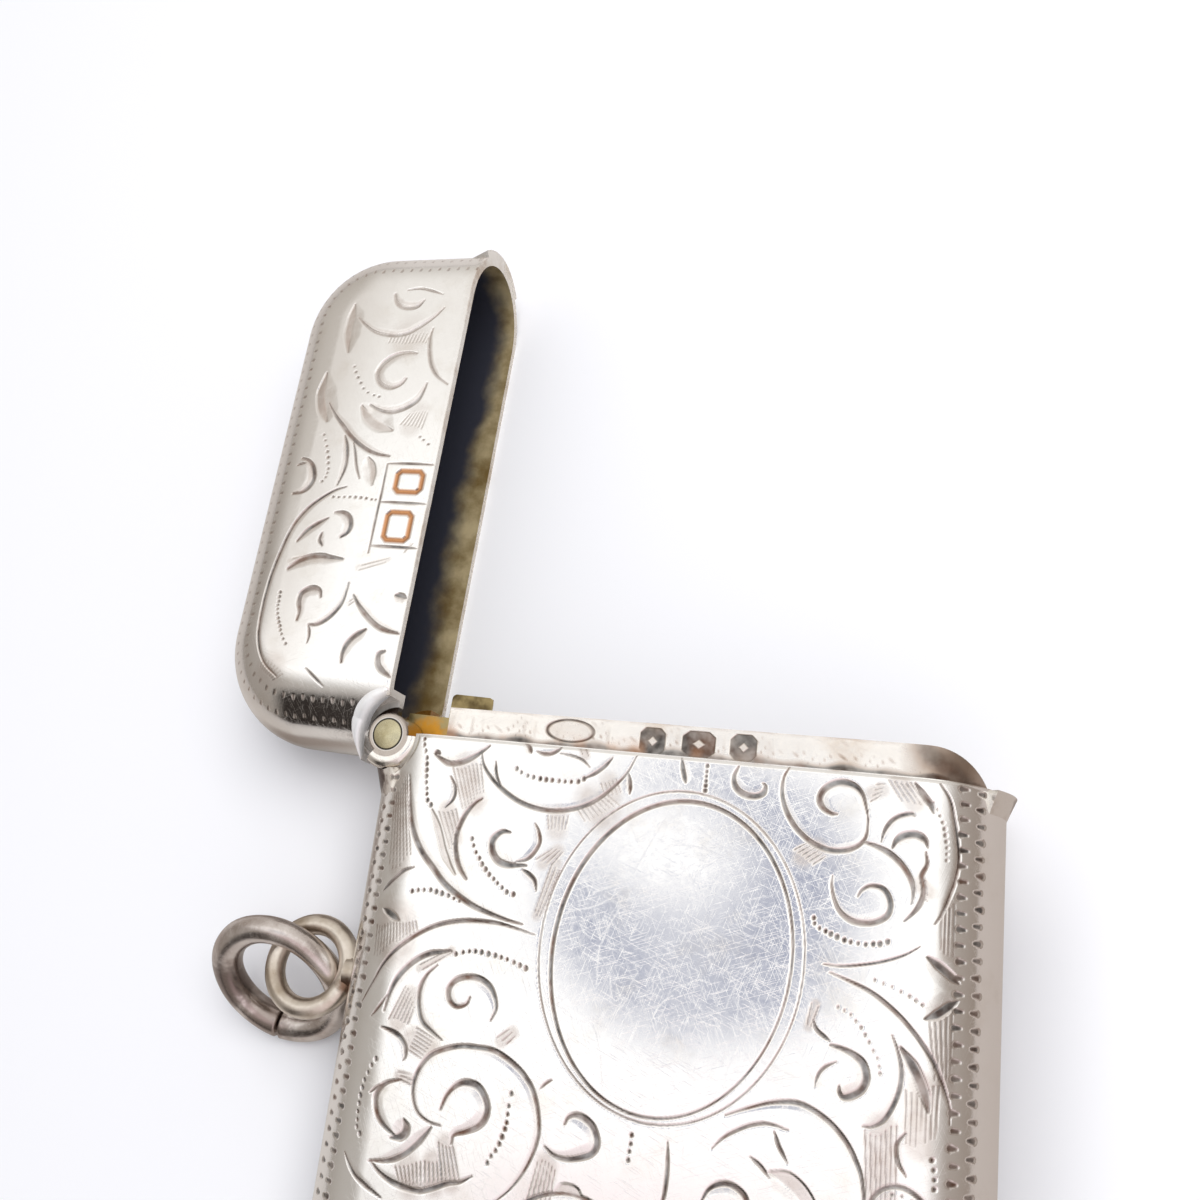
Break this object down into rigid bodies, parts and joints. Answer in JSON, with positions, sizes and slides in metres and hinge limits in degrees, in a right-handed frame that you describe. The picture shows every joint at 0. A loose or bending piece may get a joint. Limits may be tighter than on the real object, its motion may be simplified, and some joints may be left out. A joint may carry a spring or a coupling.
{
  "type": "vesta case",
  "caption": "Flat silver match case with half-round edges, a sprung side-hinged lid standing open, a collar in the mouth, a ribbed striker on the base and a loose chain ring.",
  "frame": {"origin": "centre of the flat back face of the body, on which the case lies", "axes": "+X across the case away from the hinge side, +Y from the base towards the mouth, +Z out of the engraved front face"},
  "size_m": [0.0479, 0.0685, 0.0088],
  "materials": {
    "engraved_silver": "worn polished silver with engraving",
    "plain_silver": "worn polished silver",
    "worn_silver": "dull rubbed silver",
    "ring_silver": "darkened polished silver",
    "gilt_silver": "stained gilding",
    "hinge_brass": "dull polished end",
    "spring_steel": "blued and worn"
  },
  "bodies": {
    "case": {"body_front_shell": "engraved_silver", "body_back_shell": "engraved_silver", "collar": "plain_silver", "striker": "worn_silver", "front_hinge_knuckle": "plain_silver", "back_hinge_knuckle": "plain_silver", "hinge_pin": "hinge_brass", "lid_spring": "spring_steel", "ring_eye": "worn_silver"},
    "lid": {"lid_front_shell": "engraved_silver", "lid_back_shell": "engraved_silver", "lid_knuckle": "gilt_silver"},
    "ring": {"suspension_ring": "ring_silver"}
  },
  "joints": [
    {"name": "lid_hinge", "type": "hinge", "parent": "case", "child": "lid", "pos_m": [-0.0165, 0.0167, 0.0044], "axis": [0, 0, 1], "range_deg": [-88, 0]},
    {"name": "ring_swing", "type": "hinge", "parent": "case", "child": "ring", "pos_m": [-0.02197, 0.00371, 0.0047], "axis": [0.2671, 0.9382, -0.2201], "range_deg": [0, 120]}
  ]
}
